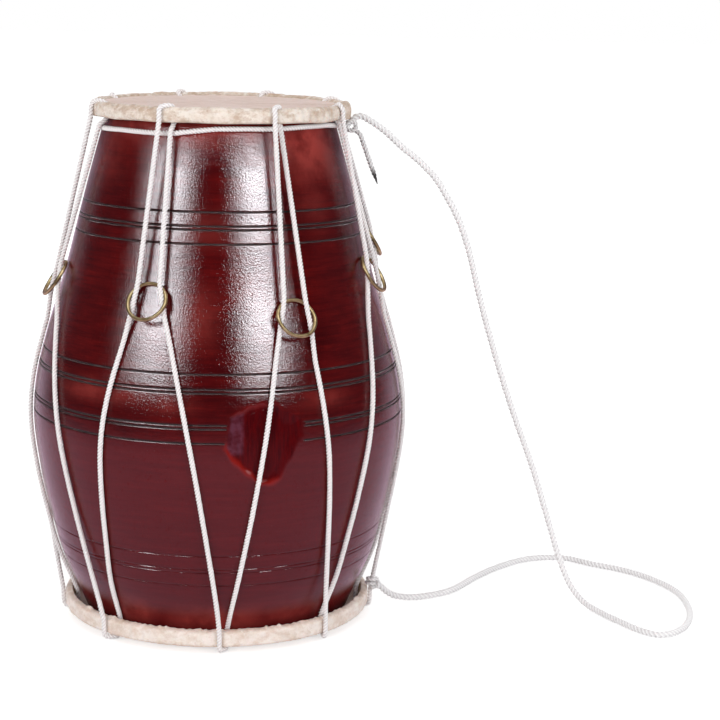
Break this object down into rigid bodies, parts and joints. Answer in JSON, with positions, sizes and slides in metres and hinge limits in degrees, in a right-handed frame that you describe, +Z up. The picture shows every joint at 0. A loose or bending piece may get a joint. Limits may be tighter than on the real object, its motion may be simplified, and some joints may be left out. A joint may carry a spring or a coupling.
{
  "type": "rope-laced barrel drum",
  "caption": "Barrel-shaped two-headed hand drum standing on its bass head, with rope lacing, sliding tuning rings, skin-lapped hoops and a carrying strap.",
  "frame": {"origin": "centre of the underside of the lower head, on the barrel's axis", "axes": "+Z up along the barrel's axis, -Y about towards the player's view in the picture"},
  "size_m": [0.6403, 0.3563, 0.4925],
  "materials": {
    "lacquered_wood": "gloss lacquer",
    "hoop_cane": "raw",
    "treble_hide": "dry rawhide",
    "bass_hide": "dry rawhide",
    "tuning_paste": "matt",
    "lacing_cotton": "twisted cotton",
    "strap_cotton": "twisted cotton",
    "ring_brass": "aged"
  },
  "bodies": {
    "drum": {"barrel_shell": "lacquered_wood", "top_hoop": "hoop_cane", "top_head_skin": "treble_hide", "bottom_hoop": "hoop_cane", "bottom_head_skin": "bass_hide", "bass_tuning_paste": "tuning_paste", "lacing_rope": "lacing_cotton", "lacing_knot": "lacing_cotton", "top_girth_rope": "lacing_cotton", "strap_cord": "strap_cotton", "strap_top_knot": "strap_cotton", "strap_bottom_knot": "strap_cotton"},
    "ring_1": {"tuning_ring_1": "ring_brass"},
    "ring_2": {"tuning_ring_2": "ring_brass"},
    "ring_3": {"tuning_ring_3": "ring_brass"},
    "ring_4": {"tuning_ring_4": "ring_brass"},
    "ring_5": {"tuning_ring_5": "ring_brass"},
    "ring_6": {"tuning_ring_6": "ring_brass"},
    "ring_7": {"tuning_ring_7": "ring_brass"},
    "ring_8": {"tuning_ring_8": "ring_brass"}
  },
  "joints": [
    {"name": "ring_1_slide", "type": "slide", "parent": "drum", "child": "ring_1", "axis": [0.2305, 0.0617, 0.9711], "range_m": [0, 0.06], "deforming": ["lacing_rope"]},
    {"name": "ring_2_slide", "type": "slide", "parent": "drum", "child": "ring_2", "axis": [0.08, 0.2258, 0.9709], "range_m": [0, 0.06], "deforming": ["lacing_rope"]},
    {"name": "ring_3_slide", "type": "slide", "parent": "drum", "child": "ring_3", "axis": [-0.1208, 0.2135, 0.9695], "range_m": [0, 0.06], "deforming": ["lacing_rope"]},
    {"name": "ring_4_slide", "type": "slide", "parent": "drum", "child": "ring_4", "axis": [-0.2286, 0.0655, 0.9713], "range_m": [0, 0.06], "deforming": ["lacing_rope"]},
    {"name": "ring_5_slide", "type": "slide", "parent": "drum", "child": "ring_5", "axis": [-0.2405, -0.0511, 0.9693], "range_m": [0, 0.06], "deforming": ["lacing_rope"]},
    {"name": "ring_6_slide", "type": "slide", "parent": "drum", "child": "ring_6", "axis": [-0.0774, -0.2249, 0.9713], "range_m": [0, 0.06], "deforming": ["lacing_rope"]},
    {"name": "ring_7_slide", "type": "slide", "parent": "drum", "child": "ring_7", "axis": [0.0972, -0.2183, 0.971], "range_m": [0, 0.06], "deforming": ["lacing_rope"]},
    {"name": "ring_8_slide", "type": "slide", "parent": "drum", "child": "ring_8", "axis": [0.2189, -0.0929, 0.9713], "range_m": [0, 0.06], "deforming": ["lacing_rope"]}
  ]
}
